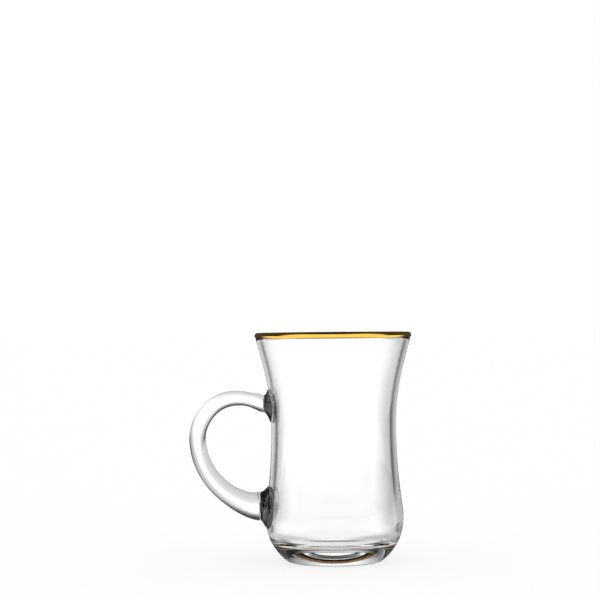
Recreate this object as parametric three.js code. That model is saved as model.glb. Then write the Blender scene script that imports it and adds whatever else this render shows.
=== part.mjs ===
// Tea mug in clear glass: a tulip-shaped bowl on a thick base, a drawn glass handle welded to the bowl
// through two flared pads, and a film of fired gold over the rolled lip.
// Millimetres, +Z up. The mug stands on Z = 0 with its handle towards -X, and the origin lies under the
// middle of its overall length and width.

import * as THREE from "three";

// Bowl, outside: radii from the bowl's axis and heights from the table
const mugHeight = 87.2;
const rimRadius = 30;
const lipDiameter = 2.3;
const neckInset = 0.5; // wall under the lip, inside the rim radius
const neckDrop = 2.8; // wall under the lip, below the top
const mouthFlare = 16.1; // degrees from upright at the neck
const waistRadius = 23.8;
const waistHeight = 52.7;
const bellyRadius = 26.4;
const bellyHeight = 16.6;
const footRadius = 18;
const heelAngle = 38.5; // degrees from the table where the heel leaves the foot

// Bowl, inside and underneath
const waistWall = 2.2;
const bellyWall = 2.6;
const floorHeight = 8;
const floorRadius = 17.5;
const floorRise = 3; // degrees from level where the inner heel leaves the floor
const dishRadius = 11.1; // shallow dish in the middle of the floor
const dishDepth = 1.4;
const footRingWidth = 6; // flat ring that the mug stands on
const puntDepth = 2; // hollow under the base

// How far each bend of the bowl's profile keeps its direction
const heelEase = 6.5;
const bellyEaseDown = 6.9;
const bellyEaseUp = 4.8;
const waistEaseDown = 22;
const waistEaseUp = 12.4;
const neckEase = 8.9;
const innerBellyEase = 5.5;
const floorEase = 5;

// Gold film, from its lower edge outside the lip to its lower edge inside
const giltThickness = 0.15;
const giltClearance = 0.03;
const giltStart = -45; // degrees from level, outside
const giltEnd = 180;

// Handle: the bar's centre line, measured from the bowl's axis and the table
const handleReach = 55.3;
const handleFarHeight = 47.6;
const upperRootHeight = 60.1;
const upperRootRise = 23; // degrees above level as the bar leaves the upper pad
const lowerRootHeight = 21;

// How far each bend of the bar keeps its direction
const upperRootEase = 20;
const farEaseUp = 5.5;
const farEaseDown = 17.5;
const lowerRootEase = 7;

// Handle: thickness seen from the side, and width across, down the bar
const upperRootThick = 6.7;
const neckThick = 4.9; // beside the upper root, where its swelling has run out
const shoulderThick = 6.1;
const farThick = 6.35;
const sweepThick = 7;
const lowerRootThick = 11;
const neckWide = 7.2;
const shoulderWide = 7.4;
const farWide = 7.6;
const sweepWide = 8.8;
const lowerRootWide = 12;
const rootTurn = 6; // length over which the bar swells and turns upright to meet the upper pad

// Weld pads: depth from the bar's seam to the bowl, and how far each pad spreads past the bar
const upperPadDepth = 2.9;
const upperPadAbove = 2.2;
const upperPadBelow = 4.2;
const upperPadSide = 3.2;
const lowerPadDepth = 2.7;
const lowerPadAbove = 2;
const lowerPadBelow = 2.6;
const lowerPadSide = 4;
const padCurl = 1.8; // 1 is a straight cone, more hollows the flare
const seamDome = 0.9; // the bar's ends swell into the pads
const weldClearance = 0.3;

// Facets
const turnFacets = 56;
const curveSteps = 6;
const lipSteps = 10;
const barSides = 20;
const barSteps = 16; // on each stretch of its line
const capSteps = 3;
const flareSteps = 6;

const radians = THREE.MathUtils.degToRad;

const clearGlass = { color: 0xeef4f2, roughness: 0.03, metalness: 0, transparent: true, opacity: 0.4 };
const firedGold = { color: 0xf2b93c, roughness: 0.18, metalness: 1 };

// Bowl

const lipRadius = lipDiameter / 2;
const lipGlassRadius = lipRadius - giltThickness;
const lipCentre = new THREE.Vector2(rimRadius - lipRadius, mugHeight - lipRadius);
const neck = new THREE.Vector2(rimRadius - neckInset, mugHeight - neckDrop);

// A point so far from another one, in a direction given in degrees from level
function offset(point, distance, degrees) {
  const angle = radians(degrees);
  return new THREE.Vector2(point.x + distance * Math.cos(angle), point.y + distance * Math.sin(angle));
}

function curveTo(path, leave, arrive, end) {
  path.bezierCurveTo(leave.x, leave.y, arrive.x, arrive.y, end.x, end.y);
}

// Hollow and foot ring, then up the outside as far as the neck
function drawOutside(path) {
  const puntRadius = footRadius - footRingWidth;
  const foot = new THREE.Vector2(footRadius, 0);
  const belly = new THREE.Vector2(bellyRadius, bellyHeight);
  const waist = new THREE.Vector2(waistRadius, waistHeight);
  path.moveTo(0, puntDepth);
  path.quadraticCurveTo(puntRadius / 2, puntDepth, puntRadius, 0);
  path.lineTo(foot.x, foot.y);
  curveTo(path, offset(foot, heelEase, heelAngle), offset(belly, bellyEaseDown, -90), belly);
  curveTo(path, offset(belly, bellyEaseUp, 90), offset(waist, waistEaseDown, -90), waist);
  curveTo(path, offset(waist, waistEaseUp, 90), offset(neck, neckEase, -90 - mouthFlare), neck);
}

// From the top of the lip down the inside to the middle of the floor
function drawInside(path) {
  const lipInside = new THREE.Vector2(lipCentre.x - lipGlassRadius, lipCentre.y);
  const waist = new THREE.Vector2(waistRadius - waistWall, waistHeight);
  const belly = new THREE.Vector2(bellyRadius - bellyWall, bellyHeight);
  const floorEdge = new THREE.Vector2(floorRadius, floorHeight);
  curveTo(path, offset(lipInside, neckEase, -90 - mouthFlare), offset(waist, waistEaseUp, 90), waist);
  curveTo(path, offset(waist, waistEaseDown, -90), offset(belly, bellyEaseUp, 90), belly);
  curveTo(path, offset(belly, innerBellyEase, -90), offset(floorEdge, floorEase, floorRise), floorEdge);
  path.lineTo(dishRadius, floorHeight);
  path.quadraticCurveTo(dishRadius / 2, floorHeight - dishDepth, 0, floorHeight - dishDepth);
}

// Profiles are drawn as radius across and height up, so the turned body is laid back to stand on Z
function turn(points) {
  return new THREE.LatheGeometry(points, turnFacets).rotateX(Math.PI / 2);
}

function lipArc(radius, from, to) {
  const arc = new THREE.EllipseCurve(lipCentre.x, lipCentre.y, radius, radius, from, to, from > to);
  return arc.getPoints(lipSteps);
}

const outside = new THREE.Path();
drawOutside(outside);
const outsidePoints = outside.getPoints(curveSteps);

const inside = new THREE.Path();
inside.moveTo(lipCentre.x - lipGlassRadius, lipCentre.y);
drawInside(inside);
const insidePoints = inside.getPoints(curveSteps);

const lipPoints = lipArc(lipGlassRadius, radians(giltStart), Math.PI);
const bowlShape = turn([...outsidePoints, ...lipPoints.slice(0, -1), ...insidePoints]);

// Gold film: the strip between two arcs round the lip

const giltOuter = lipArc(lipRadius, radians(giltStart), radians(giltEnd));
const giltInner = lipArc(lipGlassRadius + giltClearance, radians(giltEnd), radians(giltStart));
const giltShape = turn([...giltOuter, ...giltInner, giltOuter[0]]);

// Handle

// Radius of the bowl's outside at a height
function bowlRadius(height) {
  const top = outsidePoints.findIndex((point) => point.x >= footRadius && point.y > height);
  const above = outsidePoints[top];
  const below = outsidePoints[top - 1];
  const share = (height - below.y) / (above.y - below.y);
  return THREE.MathUtils.lerp(below.x, above.x, share);
}

const upperRoot = new THREE.Vector3(-bowlRadius(upperRootHeight) - upperPadDepth, 0, upperRootHeight);
const lowerRoot = new THREE.Vector3(-bowlRadius(lowerRootHeight) - lowerPadDepth, 0, lowerRootHeight);
const farPoint = new THREE.Vector3(farThick / 2 - handleReach, 0, handleFarHeight);

// A point so far out from another one, at an angle above level
function leaving(point, distance, degrees) {
  const angle = radians(degrees);
  return new THREE.Vector3(point.x - distance * Math.cos(angle), 0, point.z + distance * Math.sin(angle));
}

// An arch from the upper pad to the farthest point, and a sweep from there in to the lower pad
const barLine = [
  [upperRoot, leaving(upperRoot, upperRootEase, upperRootRise), leaving(farPoint, farEaseUp, 90), farPoint],
  [farPoint, leaving(farPoint, farEaseDown, -90), leaving(lowerRoot, lowerRootEase, 0), lowerRoot],
].map((points) => new THREE.CubicBezierCurve3(...points));

// Section sizes, as thickness and width, at the ends and the middle of each stretch of the line
const barSizes = new THREE.SplineCurve([
  new THREE.Vector2(neckThick, neckWide),
  new THREE.Vector2(shoulderThick, shoulderWide),
  new THREE.Vector2(farThick, farWide),
  new THREE.Vector2(sweepThick, sweepWide),
  new THREE.Vector2(lowerRootThick, lowerRootWide),
]);

function ringAngles() {
  return Array.from({ length: barSides }, (_, side) => (side / barSides) * 2 * Math.PI);
}

// An oval ring at a point, with its thickness along a direction in the handle's plane
function ovalRing(point, thickAxis, size) {
  return ringAngles().map((angle) => {
    const ring = point.clone().addScaledVector(thickAxis, (Math.cos(angle) * size.x) / 2);
    ring.y += (Math.sin(angle) * size.y) / 2;
    return ring;
  });
}

// A skin over rings of equal length, closed by a point at each end
function skin(firstPole, rings, lastPole) {
  const sides = rings[0].length;
  const points = [firstPole, ...rings.flat(), lastPole];
  const lastRing = points.length - 1 - sides;
  const faces = [];
  for (let side = 0; side < sides; side += 1) {
    const next = (side + 1) % sides;
    faces.push(0, 1 + next, 1 + side);
    faces.push(points.length - 1, lastRing + side, lastRing + next);
    for (let ring = 0; ring < rings.length - 1; ring += 1) {
      const here = 1 + ring * sides;
      const there = here + sides;
      faces.push(here + side, here + next, there + next);
      faces.push(here + side, there + next, there + side);
    }
  }
  const shape = new THREE.BufferGeometry().setFromPoints(points);
  shape.setIndex(faces);
  shape.computeVertexNormals();
  return shape;
}

// Rings of a shallow dome that swells from a seam towards the bowl, from its edge to near its pole
function domeRings(edge, root) {
  return Array.from({ length: capSteps - 1 }, (_, step) => {
    const share = 1 - (step + 1) / capSteps;
    return edge.map((point) => {
      const ring = root.clone().lerp(point, share);
      ring.x += seamDome * (1 - share ** 2);
      return ring;
    });
  });
}

function domePole(root) {
  return root.clone().setX(root.x + seamDome);
}

// Oval sections square to the bar's line, which swell and turn upright towards the upper root
function barRings() {
  return barLine.flatMap((stretch, index) => {
    const shares = Array.from({ length: barSteps + 1 }, (_, step) => step / barSteps);
    return shares.slice(index).map((share) => {
      const centre = stretch.getPoint(share);
      const nearRoot = 1 - THREE.MathUtils.smoothstep(centre.distanceTo(upperRoot), 0, rootTurn);
      const along = stretch.getTangent(share).lerp(new THREE.Vector3(-1, 0, 0), nearRoot).normalize();
      const size = barSizes.getPoint((index + share) / barLine.length);
      size.x += (upperRootThick - neckThick) * nearRoot;
      return ovalRing(centre, new THREE.Vector3(along.z, 0, -along.x), size);
    });
  });
}

function handleShape() {
  const bar = barRings();
  const upperCap = domeRings(bar[0], upperRoot).reverse();
  const lowerCap = domeRings(bar[bar.length - 1], lowerRoot);
  return skin(domePole(upperRoot), [...upperCap, ...bar, ...lowerCap], domePole(lowerRoot));
}

// Weld pads

// Puts a point on the bowl's skin, a weld's clearance off it
function onBowl(y, z) {
  return new THREE.Vector3(-Math.sqrt(bowlRadius(z) ** 2 - y ** 2) - weldClearance, y, z);
}

// A flare from the dished seat of the bar's end to a patch that lies on the bowl
function padShape(root, size, spread) {
  const seamCentre = root.clone().setX(root.x + weldClearance);
  const seam = ovalRing(seamCentre, new THREE.Vector3(0, 0, 1), size);
  const dish = domeRings(seam, seamCentre).reverse();
  const flare = Array.from({ length: flareSteps }, (_, step) => {
    const share = (step + 1) / flareSteps;
    const grown = share ** padCurl;
    return ringAngles().map((angle, side) => {
      const reach = Math.cos(angle) > 0 ? spread.above : spread.below;
      const y = Math.sin(angle) * (size.y / 2 + spread.side * grown);
      const z = root.z + Math.cos(angle) * (size.x / 2 + reach * grown);
      return onBowl(y, z).setX(THREE.MathUtils.lerp(seam[side].x, onBowl(y, z).x, share));
    });
  });
  const rim = flare[flareSteps - 1];
  const patch = Array.from({ length: capSteps - 1 }, (_, step) => {
    const share = 1 - (step + 1) / capSteps;
    return rim.map((point) => onBowl(point.y * share, THREE.MathUtils.lerp(root.z, point.z, share)));
  });
  const rings = [...dish, seam, ...flare, ...patch];
  return skin(onBowl(0, root.z), rings.reverse(), domePole(seamCentre));
}

const upperSpread = { above: upperPadAbove, below: upperPadBelow, side: upperPadSide };
const lowerSpread = { above: lowerPadAbove, below: lowerPadBelow, side: lowerPadSide };
const upperSize = new THREE.Vector2(upperRootThick, neckWide);
const lowerSize = new THREE.Vector2(lowerRootThick, lowerRootWide);

// Assembly

const mug = new THREE.Group();

function addPiece(name, shape, finish) {
  const piece = new THREE.Mesh(shape, new THREE.MeshStandardMaterial(finish));
  piece.name = name;
  mug.add(piece);
}

addPiece("bowl", bowlShape, clearGlass);
addPiece("handle", handleShape(), clearGlass);
addPiece("upper_pad", padShape(upperRoot, upperSize, upperSpread), clearGlass);
addPiece("lower_pad", padShape(lowerRoot, lowerSize, lowerSpread), clearGlass);
addPiece("gilt_rim", giltShape, firedGold);

// The bowl's axis stands off the origin by half of what the handle reaches past the rim
mug.position.x = (handleReach - rimRadius) / 2;

export default mug;
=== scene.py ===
import math

import bmesh
import bpy
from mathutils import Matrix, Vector
from mathutils.geometry import interpolate_bezier


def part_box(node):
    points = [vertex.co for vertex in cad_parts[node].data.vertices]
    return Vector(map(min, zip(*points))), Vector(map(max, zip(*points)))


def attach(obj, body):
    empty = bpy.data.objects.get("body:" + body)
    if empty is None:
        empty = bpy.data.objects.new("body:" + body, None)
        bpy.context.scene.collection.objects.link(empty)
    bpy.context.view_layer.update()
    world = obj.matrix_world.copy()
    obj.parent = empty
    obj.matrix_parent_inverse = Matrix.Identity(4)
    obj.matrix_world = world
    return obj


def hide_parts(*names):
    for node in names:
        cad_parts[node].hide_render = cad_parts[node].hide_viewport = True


# A clear glass tea mug with a gilded lip. Sizes in the dictionaries are millimetres, measured from the
# bowl's axis and from the table, and angles are degrees.

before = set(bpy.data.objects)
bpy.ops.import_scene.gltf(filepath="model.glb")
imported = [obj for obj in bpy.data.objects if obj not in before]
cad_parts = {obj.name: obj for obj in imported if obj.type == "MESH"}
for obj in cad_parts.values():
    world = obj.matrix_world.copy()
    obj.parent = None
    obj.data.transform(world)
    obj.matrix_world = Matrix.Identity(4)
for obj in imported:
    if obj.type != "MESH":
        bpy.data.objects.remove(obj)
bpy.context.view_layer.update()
scene = bpy.context.scene
mm = 0.001
mergeDistance = 0.001 * mm

giltLow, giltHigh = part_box("gilt_rim")
handleLow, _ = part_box("handle")
axisX = (giltLow.x + giltHigh.x) / 2
rimRadius = (giltHigh.x - giltLow.x) / 2 / mm
mugHeight = giltHigh.z / mm
handleReach = (axisX - handleLow.x) / mm
print("frame loaded, bowl axis at x =", round(axisX, 5))


# Nodes

# Adds a node, sets its properties, and links or sets its inputs
def place(tree, kind, inputs=None, **settings):
    node = tree.nodes.new(kind)
    for name, value in settings.items():
        setattr(node, name, value)
    for key, value in (inputs or {}).items():
        if isinstance(value, bpy.types.NodeSocket):
            tree.links.new(value, node.inputs[key])
        else:
            node.inputs[key].default_value = value
    return node


def calculate(tree, operation, *values):
    node = place(tree, "ShaderNodeMath", dict(enumerate(values)), operation=operation)
    return node.outputs[0]


def vectorMath(tree, operation, *values, scale=None):
    inputs = dict(enumerate(values))
    if scale is not None:
        inputs["Scale"] = scale
    node = place(tree, "ShaderNodeVectorMath", inputs, operation=operation)
    return node.outputs["Value" if operation in ("LENGTH", "DISTANCE", "DOT_PRODUCT") else "Vector"]


def combine(tree, x, y, z):
    return place(tree, "ShaderNodeCombineXYZ", {"X": x, "Y": y, "Z": z}).outputs[0]


def addSockets(tree, inputs, outputs):
    for name, kind in inputs:
        tree.interface.new_socket(name, in_out="INPUT", socket_type=kind)
    for name, kind in outputs:
        tree.interface.new_socket(name, in_out="OUTPUT", socket_type=kind)
    given = tree.nodes.new("NodeGroupInput").outputs
    result = tree.nodes.new("NodeGroupOutput").inputs
    return given, result


# Runs a geometry tree on a curve and keeps what it makes as a plain mesh piece
def growPiece(name, curve, tree, values):
    source = bpy.data.objects.new(name + "Curve", curve)
    scene.collection.objects.link(source)
    modifier = source.modifiers.new(tree.name, "NODES")
    modifier.node_group = tree
    for item in tree.interface.items_tree:
        if item.in_out == "INPUT" and item.name in values:
            modifier[item.identifier] = values[item.name]
    evaluated = source.evaluated_get(bpy.context.evaluated_depsgraph_get())
    mesh = bpy.data.meshes.new_from_object(evaluated)
    source.modifiers.remove(modifier)
    bpy.data.objects.remove(source)
    return keepPiece(name, mesh)


# Closes a mesh, turns its faces outwards and puts it in the scene
def keepPiece(name, mesh):
    shape = bmesh.new()
    shape.from_mesh(mesh)
    bmesh.ops.remove_doubles(shape, verts=shape.verts, dist=mergeDistance)
    bmesh.ops.recalc_face_normals(shape, faces=shape.faces)
    for face in shape.faces:
        face.smooth = True
    shape.to_mesh(mesh)
    shape.free()
    mesh.name = name
    piece = bpy.data.objects.new(name, mesh)
    scene.collection.objects.link(piece)
    print(name, "faces:", len(mesh.polygons))
    return piece


# Finishes

# Slow waves and faint marks left by hot working, as a height and a share from 0 to 1
def makeHotWorkGroup():
    tree = bpy.data.node_groups.new("hotWork", "ShaderNodeTree")
    given, result = addSockets(
        tree,
        [("Stretch", "NodeSocketVector"), ("Wave size", "NodeSocketFloat"), ("Mark size", "NodeSocketFloat")],
        [("Wave", "NodeSocketFloat"), ("Mark", "NodeSocketFloat")],
    )
    coordinates = place(tree, "ShaderNodeTexCoord").outputs["Object"]
    stretched = vectorMath(tree, "MULTIPLY", coordinates, given["Stretch"])
    waves = place(
        tree,
        "ShaderNodeTexNoise",
        {"Vector": stretched, "Scale": calculate(tree, "DIVIDE", 1, given["Wave size"]), "Detail": 1},
    )
    marks = place(
        tree,
        "ShaderNodeTexNoise",
        {"Vector": coordinates, "Scale": calculate(tree, "DIVIDE", 1, given["Mark size"]), "Detail": 4},
    )
    tree.links.new(waves.outputs[0], result["Wave"])
    tree.links.new(marks.outputs[0], result["Mark"])
    return tree


hotWork = makeHotWorkGroup()

glassFinish = {
    "colour": (0.99, 0.993, 0.99, 1),
    "ior": 1.51,
    "roughnessLow": 0.0,
    "roughnessHigh": 0.012,
    "markSize": 9,
    "markLow": 0.45,  # marks start to roughen the glass here
    "markHigh": 0.8,
}


# Clear glass with its own waves. soak is the light that it takes up inside, per metre
def makeGlass(name, stretch, waveSize, waveDepth, soak=0):
    material = bpy.data.materials.new(name)
    material.use_nodes = True
    tree = material.node_tree
    shader = tree.nodes["Principled BSDF"]
    shader.inputs["Base Color"].default_value = glassFinish["colour"]
    shader.inputs["IOR"].default_value = glassFinish["ior"]
    shader.inputs["Transmission Weight"].default_value = 1
    work = place(
        tree,
        "ShaderNodeGroup",
        {"Stretch": stretch, "Wave size": waveSize * mm, "Mark size": glassFinish["markSize"] * mm},
        node_tree=hotWork,
    ).outputs
    roughness = place(
        tree,
        "ShaderNodeMapRange",
        {
            "Value": work["Mark"],
            "From Min": glassFinish["markLow"],
            "From Max": glassFinish["markHigh"],
            "To Min": glassFinish["roughnessLow"],
            "To Max": glassFinish["roughnessHigh"],
        },
    )
    tree.links.new(roughness.outputs[0], shader.inputs["Roughness"])
    bump = place(
        tree, "ShaderNodeBump", {"Height": work["Wave"], "Strength": 1, "Distance": waveDepth * mm}
    )
    tree.links.new(bump.outputs[0], shader.inputs["Normal"])
    if soak:
        dark = place(tree, "ShaderNodeVolumeAbsorption", {"Color": (0, 0, 0, 1), "Density": soak})
        tree.links.new(dark.outputs[0], tree.nodes["Material Output"].inputs["Volume"])
    return material


goldFinish = {
    "warm": (1.0, 0.6, 0.08, 1),
    "pale": (1.0, 0.67, 0.14, 1),
    "roughnessLow": 0.04,
    "roughnessHigh": 0.12,
    "waveSize": 6,
    "markSize": 0.7,
}


def makeGold():
    material = bpy.data.materials.new("firedGold")
    material.use_nodes = True
    tree = material.node_tree
    shader = tree.nodes["Principled BSDF"]
    shader.inputs["Metallic"].default_value = 1
    work = place(
        tree,
        "ShaderNodeGroup",
        {
            "Stretch": (1, 1, 1),
            "Wave size": goldFinish["waveSize"] * mm,
            "Mark size": goldFinish["markSize"] * mm,
        },
        node_tree=hotWork,
    ).outputs
    colour = place(
        tree,
        "ShaderNodeMix",
        {"Factor": work["Wave"], "A": goldFinish["warm"], "B": goldFinish["pale"]},
        data_type="RGBA",
    )
    tree.links.new(colour.outputs["Result"], shader.inputs["Base Color"])
    roughness = place(
        tree,
        "ShaderNodeMapRange",
        {
            "Value": work["Mark"],
            "To Min": goldFinish["roughnessLow"],
            "To Max": goldFinish["roughnessHigh"],
        },
    )
    tree.links.new(roughness.outputs[0], shader.inputs["Roughness"])
    return material


blownGlass = makeGlass("blownGlass", stretch=(1, 1, 0.3), waveSize=14, waveDepth=0.004)
drawnGlass = makeGlass("drawnGlass", stretch=(1, 1, 1), waveSize=10, waveDepth=0.003)
# The weld glass soaks up light to near black: painted shade standing in for the dark surroundings that the clear
# pads refract
paintedShadeWeldGlass = makeGlass("paintedShadeWeldGlass", stretch=(1, 1, 1), waveSize=4, waveDepth=0.02, soak=350)
firedGold = makeGold()
print("finishes made")


# Profiles

# A knot of a profile: its point, and handles back and ahead along the direction of travel
def bend(across, up, degrees, back, ahead):
    way = Vector((math.cos(math.radians(degrees)), 0, math.sin(math.radians(degrees))))
    point = Vector((across, 0, up))
    return point - way * back, point, point + way * ahead


# Knots of an arc round a centre, for the rolled lip and the film over it
def arcKnots(centre, radius, start, end, count):
    step = (end - start) / (count - 1)
    reach = 4 / 3 * math.tan(math.radians(abs(step)) / 4) * radius
    turn = 90 if end > start else -90
    knots = []
    for index in range(count):
        degrees = start + step * index
        angle = math.radians(degrees)
        across = centre[0] + radius * math.cos(angle)
        up = centre[1] + radius * math.sin(angle)
        knots.append(bend(across, up, degrees + turn, reach, reach))
    return knots


# A Bezier curve object's data through knots
def drawCurve(name, knots, steps):
    curve = bpy.data.curves.new(name, "CURVE")
    curve.dimensions = "3D"
    curve.resolution_u = steps
    spline = curve.splines.new("BEZIER")
    spline.bezier_points.add(len(knots) - 1)
    for point, (back, knot, ahead) in zip(spline.bezier_points, knots):
        point.handle_left_type = point.handle_right_type = "FREE"
        point.handle_left, point.co, point.handle_right = back * mm, knot * mm, ahead * mm
    return curve


# Wraps a profile round the bowl's axis: one column of the grid for each facet, one row for each point
def makeTurnTree():
    tree = bpy.data.node_groups.new("turnOnAxis", "GeometryNodeTree")
    tree.is_modifier = True
    given, result = addSockets(
        tree,
        [
            ("Profile", "NodeSocketGeometry"),
            ("Facets", "NodeSocketInt"),
            ("Axis", "NodeSocketFloat"),
            ("Finish", "NodeSocketMaterial"),
        ],
        [("Turned", "NodeSocketGeometry")],
    )
    profile = place(tree, "GeometryNodeResampleCurve", {"Curve": given["Profile"]}, mode="EVALUATED")
    size = place(
        tree, "GeometryNodeAttributeDomainSize", {"Geometry": profile.outputs[0]}, component="CURVE"
    )
    rows = size.outputs["Point Count"]
    grid = place(
        tree,
        "GeometryNodeMeshGrid",
        {"Vertices X": calculate(tree, "ADD", given["Facets"], 1), "Vertices Y": rows},
    )
    index = place(tree, "GeometryNodeInputIndex").outputs[0]
    column = calculate(tree, "FLOOR", calculate(tree, "DIVIDE", index, rows))
    row = calculate(tree, "SUBTRACT", index, calculate(tree, "MULTIPLY", column, rows))
    sample = place(
        tree,
        "GeometryNodeSampleIndex",
        {
            "Geometry": profile.outputs[0],
            "Value": place(tree, "GeometryNodeInputPosition").outputs[0],
            "Index": row,
        },
        data_type="FLOAT_VECTOR",
    )
    point = place(tree, "ShaderNodeSeparateXYZ", {0: sample.outputs[0]})
    angle = calculate(tree, "DIVIDE", calculate(tree, "MULTIPLY", column, 2 * math.pi), given["Facets"])
    across = calculate(tree, "MULTIPLY", point.outputs["X"], calculate(tree, "COSINE", angle))
    deep = calculate(tree, "MULTIPLY", point.outputs["X"], calculate(tree, "SINE", angle))
    around = combine(tree, calculate(tree, "ADD", across, given["Axis"]), deep, point.outputs["Z"])
    turned = place(tree, "GeometryNodeSetPosition", {"Geometry": grid.outputs["Mesh"], "Position": around})
    closed = place(
        tree, "GeometryNodeMergeByDistance", {"Geometry": turned.outputs[0], "Distance": mergeDistance}
    )
    whole = place(tree, "GeometryNodeRealizeInstances", {"Geometry": closed.outputs[0]})
    finished = place(
        tree, "GeometryNodeSetMaterial", {"Geometry": whole.outputs[0], "Material": given["Finish"]}
    )
    tree.links.new(finished.outputs[0], result["Turned"])
    return tree


turnOnAxis = makeTurnTree()

# Bowl

bowl = {
    "lipRadius": 1.0,
    "lipStart": -45,
    "lipEnd": 163,
    "lipKnots": 5,
    "neckInset": 0.5,
    "neckDrop": 2.8,
    "mouthFlare": 16.1,
    "waistRadius": 23.8,
    "waistHeight": 52.7,
    "bellyRadius": 26.4,
    "bellyHeight": 16.6,
    "footRadius": 18,
    "footRound": 0.7,
    "heelAngle": 38.5,
    "waistWall": 2.2,
    "bellyWall": 2.65,
    "floorHeight": 7.39,
    "floorRadius": 17.9,
    "floorRise": 1.34,
    "dishRadius": 12.26,
    "dishSlope": 11.16,
    "dishRound": 0.3,
    "footRingWidth": 6.11,
    "footRingRound": 0.59,
    "puntDepth": 1.56,
    "facets": 192,
    "steps": 14,
    # how far the outline runs on along its direction at each knot
    "ringEase": 1,
    "heelEase": 6.5,
    "bellyEaseDown": 6.9,
    "bellyEaseUp": 4.8,
    "waistEaseDown": 22,
    "waistEaseUp": 12.4,
    "neckEase": 8.9,
    "lipEase": 0.4,
    "innerBellyEase": 6.58,
    "floorEase": 5.42,
    "floorEaseIn": 2,
    "dishEase": 1,
}
giltThickness = 0.15  # from the lip's skin to the film's outside
lipInset = bowl["lipRadius"] + giltThickness
lipCentre = (rimRadius - lipInset, mugHeight - lipInset)


def bowlOutside():
    foot, punt = bowl["footRadius"], bowl["footRadius"] - bowl["footRingWidth"]
    footRound, ringRound = bowl["footRound"], bowl["footRingRound"]
    heel = math.radians(bowl["heelAngle"])
    puntSlope = -math.degrees(math.atan2(bowl["puntDepth"], punt / 2))
    slope = math.radians(puntSlope)
    return [
        bend(0, bowl["puntDepth"], 0, 0, punt / 3),
        bend(
            punt - ringRound * math.cos(slope),
            -ringRound * math.sin(slope),
            puntSlope,
            punt / 3 - ringRound,
            ringRound / 2,
        ),
        bend(punt + ringRound, 0, 0, ringRound / 2, bowl["ringEase"]),
        bend(foot - footRound, 0, 0, bowl["ringEase"], footRound / 2),
        bend(
            foot + footRound * math.cos(heel),
            footRound * math.sin(heel),
            bowl["heelAngle"],
            footRound / 2,
            bowl["heelEase"] - footRound,
        ),
        bend(bowl["bellyRadius"], bowl["bellyHeight"], 90, bowl["bellyEaseDown"], bowl["bellyEaseUp"]),
        bend(bowl["waistRadius"], bowl["waistHeight"], 90, bowl["waistEaseDown"], bowl["waistEaseUp"]),
        bend(
            rimRadius - bowl["neckInset"],
            mugHeight - bowl["neckDrop"],
            90 - bowl["mouthFlare"],
            bowl["neckEase"],
            bowl["lipEase"],
        ),
    ]


def bowlInside():
    waist = bowl["waistRadius"] - bowl["waistWall"]
    belly = bowl["bellyRadius"] - bowl["bellyWall"]
    dish, dishRound = bowl["dishRadius"], bowl["dishRound"]
    slope = math.tan(math.radians(bowl["dishSlope"]))
    return [
        bend(waist, bowl["waistHeight"], -90, bowl["waistEaseUp"], bowl["waistEaseDown"]),
        bend(belly, bowl["bellyHeight"], -90, bowl["bellyEaseUp"], bowl["innerBellyEase"]),
        bend(
            bowl["floorRadius"],
            bowl["floorHeight"],
            180 + bowl["floorRise"],
            bowl["floorEase"],
            bowl["floorEaseIn"],
        ),
        bend(dish + dishRound, bowl["floorHeight"], 180, bowl["dishEase"], dishRound / 2),
        bend(
            dish - dishRound,
            bowl["floorHeight"] - dishRound * slope,
            180 + bowl["dishSlope"],
            dishRound / 2,
            dish / 3,
        ),
        bend(0, bowl["floorHeight"] - dish * slope / 2, 180, dish / 3, 0),
    ]


outsideKnots = bowlOutside()
lipKnots = arcKnots(lipCentre, bowl["lipRadius"], bowl["lipStart"], bowl["lipEnd"], bowl["lipKnots"])
# The lip's last knot runs on down the flare of the mouth
lipBack, lipLast, _ = lipKnots[-1]
_, _, lipAhead = bend(*lipLast.xz, -90 - bowl["mouthFlare"], 0, bowl["neckEase"])
lipKnots[-1] = (lipBack, lipLast, lipAhead)
bowlCurve = drawCurve("bowlProfile", outsideKnots + lipKnots + bowlInside(), bowl["steps"])
bowlGlass = growPiece(
    "bowl_glass", bowlCurve, turnOnAxis, {"Facets": bowl["facets"], "Axis": axisX, "Finish": blownGlass}
)

# Gold film over the lip

gilt = {"start": -45, "end": 162, "clearance": 0.02, "knots": 5, "facets": 192, "steps": 6}


def giltKnots():
    start, end, count = gilt["start"], gilt["end"], gilt["knots"]
    inner = arcKnots(lipCentre, bowl["lipRadius"] + gilt["clearance"], end, start, count)
    outer = arcKnots(lipCentre, bowl["lipRadius"] + giltThickness, start, end, count)
    return outer + inner + [outer[0]]


giltCurve = drawCurve("giltProfile", giltKnots(), gilt["steps"])
giltFilm = growPiece(
    "gilt_film", giltCurve, turnOnAxis, {"Facets": gilt["facets"], "Axis": axisX, "Finish": firedGold}
)

# Handle

handle = {
    "farHeight": 47.6,
    "upperRootHeight": 60.1,
    "upperRootRise": 23,
    "lowerRootHeight": 21,
    "upperPadDepth": 2.9,
    "lowerPadDepth": 2.7,
    "upperRootEase": 20,
    "farEaseUp": 5.5,
    "farEaseDown": 17.5,
    "lowerRootEase": 7,
    "farThick": 6.35,
    "rootTurn": 6,
    "rootSwelling": 1.8,
    "thick": [(0, 4.9), (0.27, 6.1), (0.5, 6.35), (0.72, 6.9), (0.88, 8.3), (1, 11)],
    "wide": [(0, 7.2), (0.27, 7.4), (0.5, 7.6), (0.75, 8.8), (1, 12)],
    "seamDome": 0.9,
    "rows": 200,
    "capRows": 14,
    "sides": 64,
    "steps": 64,
    "bowlSteps": 40,
}

# The bowl's outside from the foot ring up, as points
outsideLine = []
for (_, start, ahead), (back, end, _) in zip(outsideKnots[3:], outsideKnots[4:]):
    outsideLine.extend(interpolate_bezier(start, ahead, back, end, handle["bowlSteps"])[:-1])


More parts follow.
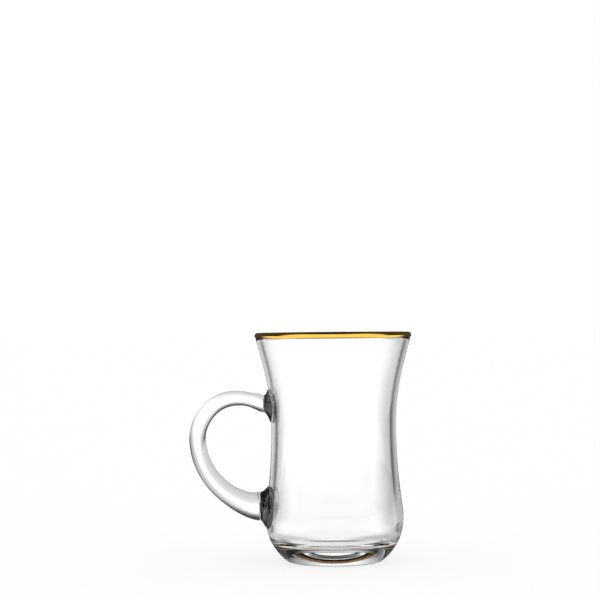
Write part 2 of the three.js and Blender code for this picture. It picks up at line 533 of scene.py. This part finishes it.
# Radius of the bowl's outside at a height
def bowlRadius(height):
    for below, above in zip(outsideLine, outsideLine[1:]):
        if below.z <= height < above.z:
            return below.x + (above.x - below.x) * (height - below.z) / (above.z - below.z)
    return outsideLine[-1].x


# Where an end of the bar's line stands off the bowl
def barRoot(height, padDepth):
    return Vector((-bowlRadius(height) - padDepth, 0, height))


upperRoot = barRoot(handle["upperRootHeight"], handle["upperPadDepth"])
lowerRoot = barRoot(handle["lowerRootHeight"], handle["lowerPadDepth"])
farBar = handle["farThick"] / 2 - handleReach
barKnots = [
    bend(upperRoot.x, upperRoot.z, 180 - handle["upperRootRise"], 0, handle["upperRootEase"]),
    bend(farBar, handle["farHeight"], -90, handle["farEaseUp"], handle["farEaseDown"]),
    bend(lowerRoot.x, lowerRoot.z, 0, handle["lowerRootEase"], 0),
]


# Sets the points of a float curve node
def fillCurve(node, points):
    curve = node.mapping.curves[0]
    while len(curve.points) < len(points):
        curve.points.new(0.5, 0)
    for point, (at, size) in zip(curve.points, points):
        point.location = (at, size)
    node.mapping.update()


# Oval sections along the bar's line, closed at both ends by a dome that swells towards the bowl
def makeBarTree():
    tree = bpy.data.node_groups.new("drawnBar", "GeometryNodeTree")
    tree.is_modifier = True
    given, result = addSockets(
        tree,
        [
            ("Line", "NodeSocketGeometry"),
            ("Rows", "NodeSocketInt"),
            ("Cap rows", "NodeSocketInt"),
            ("Sides", "NodeSocketInt"),
            ("Dome", "NodeSocketFloat"),
            ("Root turn", "NodeSocketFloat"),
            ("Root swelling", "NodeSocketFloat"),
            ("Axis", "NodeSocketFloat"),
            ("Finish", "NodeSocketMaterial"),
        ],
        [("Bar", "NodeSocketGeometry")],
    )
    grid = place(
        tree,
        "GeometryNodeMeshGrid",
        {"Vertices X": calculate(tree, "ADD", given["Sides"], 1), "Vertices Y": given["Rows"]},
    )
    index = place(tree, "GeometryNodeInputIndex").outputs[0]
    column = calculate(tree, "FLOOR", calculate(tree, "DIVIDE", index, given["Rows"]))
    row = calculate(tree, "SUBTRACT", index, calculate(tree, "MULTIPLY", column, given["Rows"]))
    lastRow = calculate(tree, "SUBTRACT", given["Rows"], 1)
    fromEnd = calculate(tree, "MINIMUM", row, calculate(tree, "SUBTRACT", lastRow, row))
    # 1 at an end's pole, 0 from the seam on
    capShare = place(
        tree,
        "ShaderNodeMapRange",
        {"Value": fromEnd, "From Min": 0, "From Max": given["Cap rows"], "To Min": 1, "To Max": 0},
    ).outputs[0]
    lastBarRow = calculate(tree, "SUBTRACT", lastRow, given["Cap rows"])
    share = place(
        tree, "ShaderNodeMapRange", {"Value": row, "From Min": given["Cap rows"], "From Max": lastBarRow}
    ).outputs[0]
    line = place(
        tree, "GeometryNodeSampleCurve", {"Curves": given["Line"], "Factor": share}, mode="FACTOR"
    )
    length = place(tree, "GeometryNodeCurveLength", {"Curve": given["Line"]}).outputs[0]
    nearRoot = place(
        tree,
        "ShaderNodeMapRange",
        {
            "Value": calculate(tree, "MULTIPLY", share, length),
            "From Min": 0,
            "From Max": given["Root turn"],
            "To Min": 1,
            "To Max": 0,
        },
        interpolation_type="SMOOTHSTEP",
    ).outputs[0]
    tangent = place(
        tree,
        "ShaderNodeMix",
        {"Factor": nearRoot, "A": line.outputs["Tangent"], "B": (-1, 0, 0)},
        data_type="VECTOR",
    ).outputs["Result"]
    sizes = {}
    for name in ("thick", "wide"):
        sizes[name] = place(tree, "ShaderNodeFloatCurve", {"Value": share})
        fillCurve(sizes[name], [(at, size * mm) for at, size in handle[name]])
    swelling = calculate(tree, "MULTIPLY", given["Root swelling"], nearRoot)
    thick = calculate(tree, "ADD", sizes["thick"].outputs[0], swelling)
    capAngle = calculate(tree, "MULTIPLY", capShare, math.pi / 2)
    shrink = calculate(tree, "MULTIPLY", calculate(tree, "COSINE", capAngle), 0.5)
    swell = calculate(tree, "MULTIPLY", calculate(tree, "SINE", capAngle), given["Dome"])
    angle = calculate(tree, "DIVIDE", calculate(tree, "MULTIPLY", column, 2 * math.pi), given["Sides"])
    outward = vectorMath(tree, "NORMALIZE", vectorMath(tree, "CROSS_PRODUCT", tangent, (0, 1, 0)))
    fullRise = calculate(tree, "MULTIPLY", calculate(tree, "COSINE", angle), thick)
    rise = calculate(tree, "MULTIPLY", fullRise, shrink)
    fullSide = calculate(tree, "MULTIPLY", calculate(tree, "SINE", angle), sizes["wide"].outputs[0])
    side = calculate(tree, "MULTIPLY", fullSide, shrink)
    shift = combine(tree, calculate(tree, "ADD", swell, given["Axis"]), side, 0)
    centre = vectorMath(tree, "ADD", line.outputs["Position"], shift)
    skin = vectorMath(tree, "ADD", centre, vectorMath(tree, "SCALE", outward, scale=rise))
    lofted = place(tree, "GeometryNodeSetPosition", {"Geometry": grid.outputs["Mesh"], "Position": skin})
    closed = place(
        tree, "GeometryNodeMergeByDistance", {"Geometry": lofted.outputs[0], "Distance": mergeDistance}
    )
    whole = place(tree, "GeometryNodeRealizeInstances", {"Geometry": closed.outputs[0]})
    finished = place(
        tree, "GeometryNodeSetMaterial", {"Geometry": whole.outputs[0], "Material": given["Finish"]}
    )
    tree.links.new(finished.outputs[0], result["Bar"])
    return tree


drawnBar = makeBarTree()
barCurve = drawCurve("barLine", barKnots, handle["steps"])
handleGlass = growPiece(
    "handle_glass",
    barCurve,
    drawnBar,
    {
        "Rows": handle["rows"],
        "Cap rows": handle["capRows"],
        "Sides": handle["sides"],
        "Dome": handle["seamDome"] * mm,
        "Root turn": handle["rootTurn"] * mm,
        "Root swelling": handle["rootSwelling"] * mm,
        "Axis": axisX,
        "Finish": drawnGlass,
    },
)

# Weld pads

upperPad = {
    "root": upperRoot,
    "thick": 6.7,
    "wide": 7.2,
    "above": 2.2,
    "below": 4.2,
    "side": 3.2,
}
lowerPad = {
    "root": lowerRoot,
    "thick": 11,
    "wide": 12,
    "above": 2,
    "below": 2.6,
    "side": 4,
}
weld = {
    "gap": 0.3,
    "bowlGap": 0.3,
    "curl": 1.8,
    "rimShare": 0.95,
    "sides": 64,
    "dishSteps": 10,
    "flareSteps": 16,
    "seatSteps": 8,
}


# A point on the bowl's skin, a weld's gap off it
def onBowl(y, z):
    return Vector((-math.sqrt((bowlRadius(z) + weld["bowlGap"]) ** 2 - y ** 2), y, z))


# Rings of a flare from the dished seat of the bar's end to a patch on the bowl
def padRings(pad):
    angles = [2 * math.pi * side / weld["sides"] for side in range(weld["sides"])]
    root = pad["root"] + Vector((weld["gap"], 0, 0))
    dome = handle["seamDome"]

    def dishRing(share):
        deep = dome * math.sqrt(1 - share ** 2)
        return [
            root + Vector((deep, share * math.sin(a) * pad["wide"] / 2, share * math.cos(a) * pad["thick"] / 2))
            for a in angles
        ]

    rim = math.asin(weld["rimShare"])
    dish = [dishRing(math.sin(rim * step / weld["dishSteps"])) for step in range(weld["dishSteps"] + 1)]
    seamX = dish[-1][0].x
    rings = dish
    for step in range(weld["flareSteps"] + 1):
        share = step / weld["flareSteps"]
        grown = share ** weld["curl"]
        ring = []
        for a in angles:
            reach = pad["above"] if math.cos(a) > 0 else pad["below"]
            y = math.sin(a) * (pad["wide"] / 2 + pad["side"] * grown)
            z = root.z + math.cos(a) * (pad["thick"] / 2 + reach * grown)
            seat = onBowl(y, z)
            ring.append(Vector((seamX + (seat.x - seamX) * share, y, z)))
        rings.append(ring)
    edge = rings[-1]
    for step in range(1, weld["seatSteps"] + 1):
        share = 1 - step / weld["seatSteps"]
        rings.append([onBowl(p.y * share, root.z + (p.z - root.z) * share) for p in edge])
    return rings


def makePad(name, pad):
    rings = padRings(pad)
    points = [(p * mm + Vector((axisX, 0, 0))) for ring in rings for p in ring]
    sides = weld["sides"]
    faces = []
    for ring in range(len(rings) - 1):
        for side in range(sides):
            after = (side + 1) % sides
            here, there = ring * sides, (ring + 1) * sides
            faces.append((here + side, here + after, there + after, there + side))
    mesh = bpy.data.meshes.new(name)
    mesh.from_pydata(points, [], faces)
    mesh.materials.append(paintedShadeWeldGlass)
    return keepPiece(name, mesh)


upperWeld = makePad("upper_weld", upperPad)
lowerWeld = makePad("lower_weld", lowerPad)

# Floor, white cards and camera

studio = {
    "floorRadius": 12000,
    "floorDrop": 0.1,
    "floorColour": 0.98,
    "shadowShare": 0.2,
    "sides": 128,
    # brightness by direction, from straight behind the mug round towards the handle.
    # Through the glass: far off, and on the table near the mug
    "through": [
        (-180, 0.05), (-110, 0.05), (-46, 0.03), (-34, 0.3), (-16, 0.7), (-8, 1.12), (11, 1.15), (36, 0.3),
        (46, 0.03), (70, 0.03), (78, 0.9), (102, 0.9), (110, 0.05), (180, 0.05),
    ],
    "table": [
        (-180, 0.85), (-115, 0.85), (-75, 0.5), (-22, 0.6), (-10, 1.05), (10, 1.05), (20, 0.75), (65, 0.6),
        (78, 0.9), (100, 0.75), (115, 0.85), (180, 0.85),
    ],
    # Reflected by glass and gold: far off, and on the table
    "reflected": [
        (-180, 1.05), (-105, 1.05), (-90, 0.03), (-60, 0.03), (-50, 0.06), (50, 0.06), (60, 0.03), (90, 0.03),
        (105, 1.05), (180, 1.05),
    ],
    "tableReflected": [(-180, 1.05), (-68, 1.05), (-50, 0.06), (50, 0.06), (68, 1.05), (180, 1.05)],
    # share of it by height above the table
    "lift": [(-90, 1), (14, 1), (22, 0.4), (34, 0.03), (90, 0.03)],
    "reflectedLift": [(-90, 1), (55, 1), (70, 0.03), (90, 0.03)],
    # where the table gives way to what is far off, straight back, and the painted shadow that darkens the table
    # round the mug where glass and gold reflect it
    "tableEdge": (200, 400),
    "paintedShadowUnderMug": 0.1,
    "paintedShadowEdge": (45, 90),
}


# A ramp through stops given in degrees, from low to high
def degreeRamp(tree, degrees, stops, low, high):
    share = place(tree, "ShaderNodeMapRange", {"Value": degrees, "From Min": low, "From Max": high})
    node = place(tree, "ShaderNodeValToRGB", {"Fac": share.outputs[0]})
    ramp = node.color_ramp
    while len(ramp.elements) < len(stops):
        ramp.elements.new(0.5)
    for element, (at, bright) in zip(ramp.elements, stops):
        element.position = (at - low) / (high - low)
        element.color = (bright, bright, bright, 1)
    return node.outputs["Color"]


# Brightness of the white tent in a direction from the mug, for each way of seeing it
def makeTentGroup():
    tree = bpy.data.node_groups.new("whiteTent", "ShaderNodeTree")
    ramps = {
        "Through": ("through", "lift"),
        "Table": ("table", "lift"),
        "Reflected": ("reflected", "reflectedLift"),
        "Table reflected": ("tableReflected", "lift"),
    }
    given, result = addSockets(
        tree, [("Direction", "NodeSocketVector")], [(name, "NodeSocketFloat") for name in ramps]
    )
    way = place(tree, "ShaderNodeSeparateXYZ", {0: vectorMath(tree, "NORMALIZE", given["Direction"])})
    left = calculate(tree, "MULTIPLY", way.outputs["X"], -1)
    turn = calculate(tree, "DEGREES", calculate(tree, "ARCTAN2", left, way.outputs["Y"]))
    height = calculate(tree, "DEGREES", calculate(tree, "ARCSINE", way.outputs["Z"]))
    for name, (byTurn, byHeight) in ramps.items():
        bright = degreeRamp(tree, turn, studio[byTurn], -180, 180)
        share = degreeRamp(tree, height, studio[byHeight], -90, 90)
        tree.links.new(calculate(tree, "MULTIPLY", bright, share), result[name])
    return tree


whiteTent = makeTentGroup()


def blend(tree, share, before, after):
    mix = place(tree, "ShaderNodeMix", {"Factor": share, "A": before, "B": after}, data_type="FLOAT")
    return mix.outputs["Result"]


# What a ray sees, by its kind: glass looks through, glass and gold reflect, the rest is plain
def seenStrength(tree, through, reflected, plain):
    path = place(tree, "ShaderNodeLightPath").outputs
    return blend(tree, path["Is Transmission Ray"], blend(tree, path["Is Glossy Ray"], plain, reflected), through)


def makeFloor():
    disc = bmesh.new()
    bmesh.ops.create_circle(disc, cap_ends=True, segments=studio["sides"], radius=studio["floorRadius"] * mm)
    bmesh.ops.translate(disc, verts=disc.verts, vec=(0, 0, -studio["floorDrop"] * mm))
    mesh = bpy.data.meshes.new("floor")
    disc.to_mesh(mesh)
    disc.free()
    material = bpy.data.materials.new("paleFloor")
    material.use_nodes = True
    tree = material.node_tree
    shader = tree.nodes["Principled BSDF"]
    shader.inputs["Base Color"].default_value = (*[studio["floorColour"]] * 3, 1)
    shader.inputs["Roughness"].default_value = 1
    shader.inputs["Specular IOR Level"].default_value = 0
    position = place(tree, "ShaderNodeTexCoord").outputs["Object"]
    fromMug = vectorMath(tree, "SUBTRACT", position, (axisX, 0, 0))
    away = vectorMath(tree, "LENGTH", fromMug)
    behind = place(tree, "ShaderNodeSeparateXYZ", {0: fromMug}).outputs["Y"]
    tent = place(tree, "ShaderNodeGroup", {"Direction": fromMug}, node_tree=whiteTent).outputs

    def beyond(edge, distance):
        near, far = studio[edge]
        limits = {"Value": distance, "From Min": near * mm, "From Max": far * mm}
        return place(tree, "ShaderNodeMapRange", limits, interpolation_type="SMOOTHSTEP").outputs[0]

    through = blend(tree, beyond("tableEdge", behind), tent["Table"], tent["Through"])
    # Painted shadow: in reflections the table is dark near the mug and fades to the tent's brightness between the
    # two distances
    reflected = blend(tree, beyond("paintedShadowEdge", away), studio["paintedShadowUnderMug"], tent["Table reflected"])
    path = place(tree, "ShaderNodeLightPath").outputs
    seenByGlass = calculate(tree, "MAXIMUM", path["Is Glossy Ray"], path["Is Transmission Ray"])
    card = place(tree, "ShaderNodeEmission", {"Strength": seenStrength(tree, through, reflected, 1)}).outputs[0]
    glow = place(tree, "ShaderNodeEmission", {"Strength": 1}).outputs[0]
    plain = shader.outputs[0]
    shadowed = place(tree, "ShaderNodeMixShader", {0: studio["shadowShare"], 1: glow, 2: plain}).outputs[0]
    byGlass = place(tree, "ShaderNodeMixShader", {0: seenByGlass, 1: plain, 2: card}).outputs[0]
    seen = place(tree, "ShaderNodeMixShader", {0: path["Is Camera Ray"], 1: byGlass, 2: shadowed}).outputs[0]
    tree.links.new(seen, tree.nodes["Material Output"].inputs["Surface"])
    mesh.materials.append(material)
    floor = bpy.data.objects.new("floor", mesh)
    scene.collection.objects.link(floor)


def makeWorld():
    world = bpy.data.worlds.new("studio")
    scene.world = world
    world.use_nodes = True
    tree = world.node_tree
    direction = place(tree, "ShaderNodeTexCoord").outputs["Generated"]
    tent = place(tree, "ShaderNodeGroup", {"Direction": direction}, node_tree=whiteTent).outputs
    shade = tree.nodes["Background"]
    shade.inputs["Color"].default_value = (1, 1, 1, 1)
    tree.links.new(seenStrength(tree, tent["Through"], tent["Reflected"], 1), shade.inputs["Strength"])


makeFloor()
makeWorld()

camera = {
    "lens": 109.7,
    "sensor": 36,
    "clipStart": 10,
    "distance": 700,
    "height": 92,
    "left": 12.5,
    "pitch": 0.628,
    "roll": 0.53,
}


def makeCamera():
    view = bpy.data.cameras.new("camera")
    view.lens = camera["lens"]
    view.sensor_width = camera["sensor"]
    view.clip_start = camera["clipStart"] * mm
    rig = bpy.data.objects.new("camera", view)
    rig.location = (axisX - camera["left"] * mm, -camera["distance"] * mm, camera["height"] * mm)
    rig.rotation_euler = (math.radians(90 + camera["pitch"]), math.radians(camera["roll"]), 0)
    scene.collection.objects.link(rig)
    scene.camera = rig


makeCamera()
scene.view_settings.view_transform = "Standard"
scene.cycles.max_bounces = 32
scene.cycles.transmission_bounces = 32
scene.cycles.glossy_bounces = 16
print("stage set")

# Bodies

for piece, node, slot in (
    (bowlGlass, "bowl", "clear_glass"),
    (giltFilm, "gilt_rim", "fired_gold"),
    (handleGlass, "handle", "clear_glass"),
    (upperWeld, "upper_pad", "clear_glass"),
    (lowerWeld, "lower_pad", "clear_glass"),
):
    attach(piece, "root")
    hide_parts(node)

bpy.context.view_layer.update()
